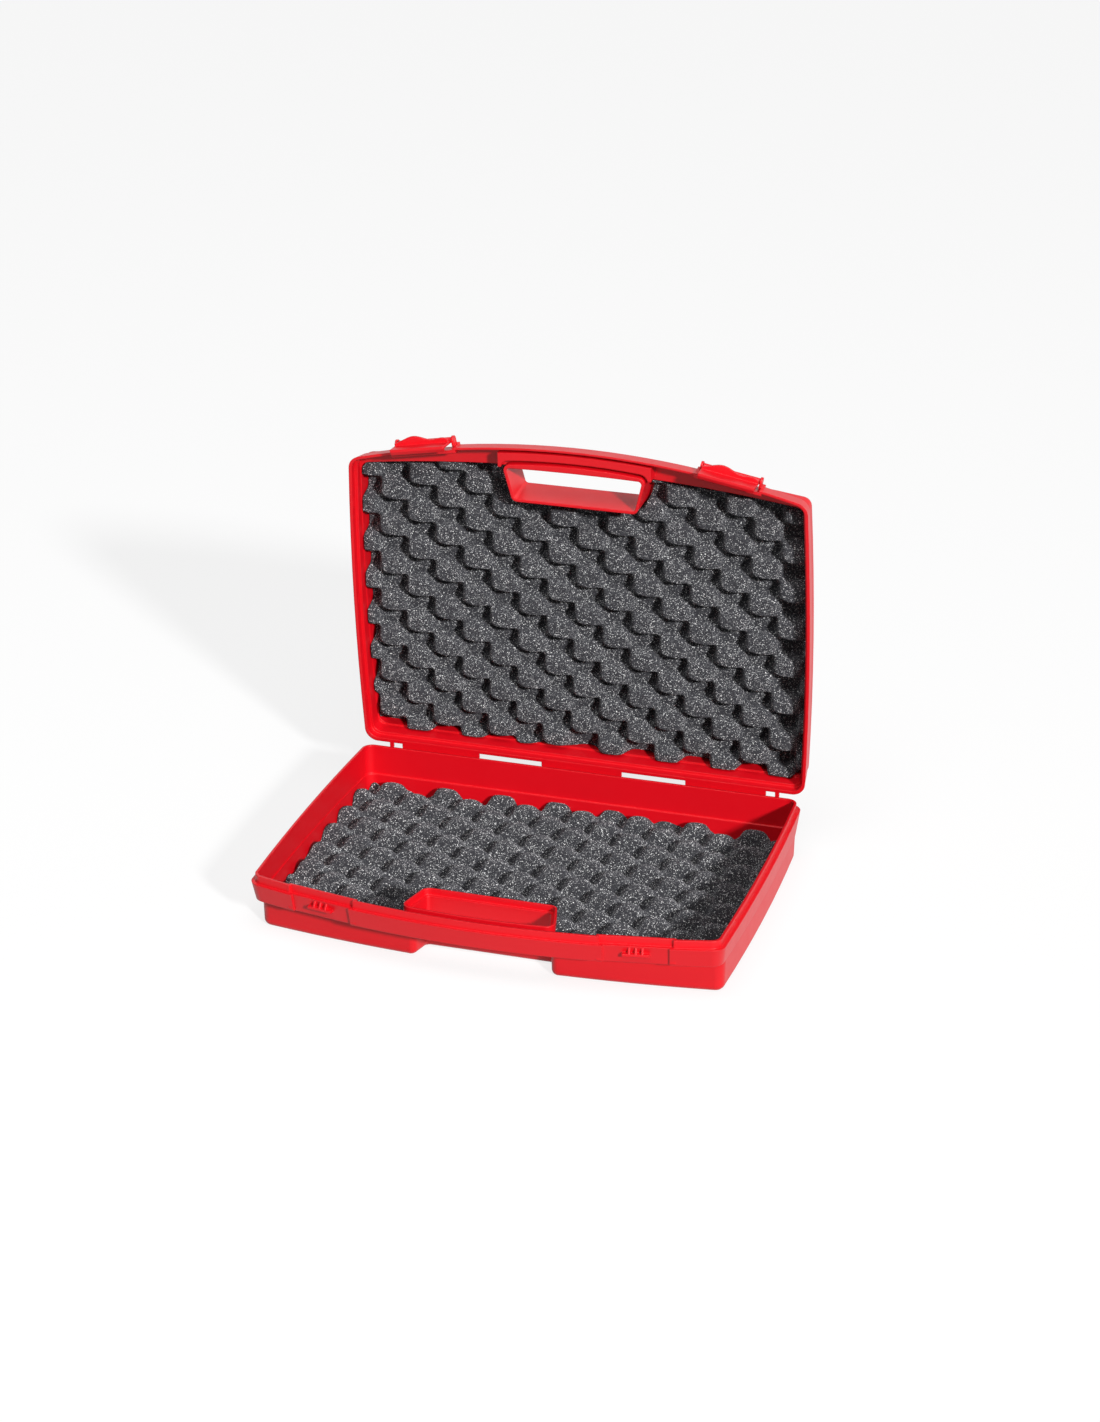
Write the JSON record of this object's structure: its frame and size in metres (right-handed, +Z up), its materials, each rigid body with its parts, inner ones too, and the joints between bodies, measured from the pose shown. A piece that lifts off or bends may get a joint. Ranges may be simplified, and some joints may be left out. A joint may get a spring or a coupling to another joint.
{
  "type": "otoscope carry case",
  "caption": "Moulded instrument carry case, open: base and lid on a film hinge, hand hole through both, clip latches, egg-crate foam inserts.",
  "frame": {"origin": "centre of the base's flat underside, which the case stands on", "axes": "+Z up from the underside, +X to the right along the width, -Y to the front with the grip and latches"},
  "size_m": [0.3454, 0.2912, 0.3025],
  "materials": {
    "shell": "satin moulded polypropylene, fine sparked texture",
    "latch": "satin moulded polypropylene",
    "hinge": "thin flexed polypropylene, as the shells",
    "foam": "open-cell egg-crate foam, dark grey"
  },
  "bodies": {
    "base": {"base_shell": "shell", "base_foam": "foam", "hinge_strap_left": "hinge", "hinge_film_left": "hinge", "hinge_film_centre": "hinge", "hinge_film_right": "hinge", "hinge_strap_right": "hinge"},
    "lid": {"lid_shell": "shell", "lid_foam": "foam"},
    "left_latch": {"left_latch": "latch"},
    "right_latch": {"right_latch": "latch"}
  },
  "joints": [
    {"name": "lid_hinge", "type": "hinge", "parent": "base", "child": "lid", "pos_m": [0, 0.13382, 0.04015], "axis": [-1, 0, 0], "range_deg": [-84.57, 95.43], "deforming": ["hinge_strap_left", "hinge_film_left", "hinge_film_centre", "hinge_film_right", "hinge_strap_right"]},
    {"name": "left_latch_hinge", "type": "hinge", "parent": "lid", "child": "left_latch", "pos_m": [-0.11339, 0.11886, 0.29432], "axis": [-0.9839, 0.0169, -0.1777], "range_deg": [-8, 92]},
    {"name": "right_latch_hinge", "type": "hinge", "parent": "lid", "child": "right_latch", "pos_m": [0.11339, 0.11886, 0.29432], "axis": [-0.9839, -0.0169, 0.1777], "range_deg": [-8, 92]}
  ]
}
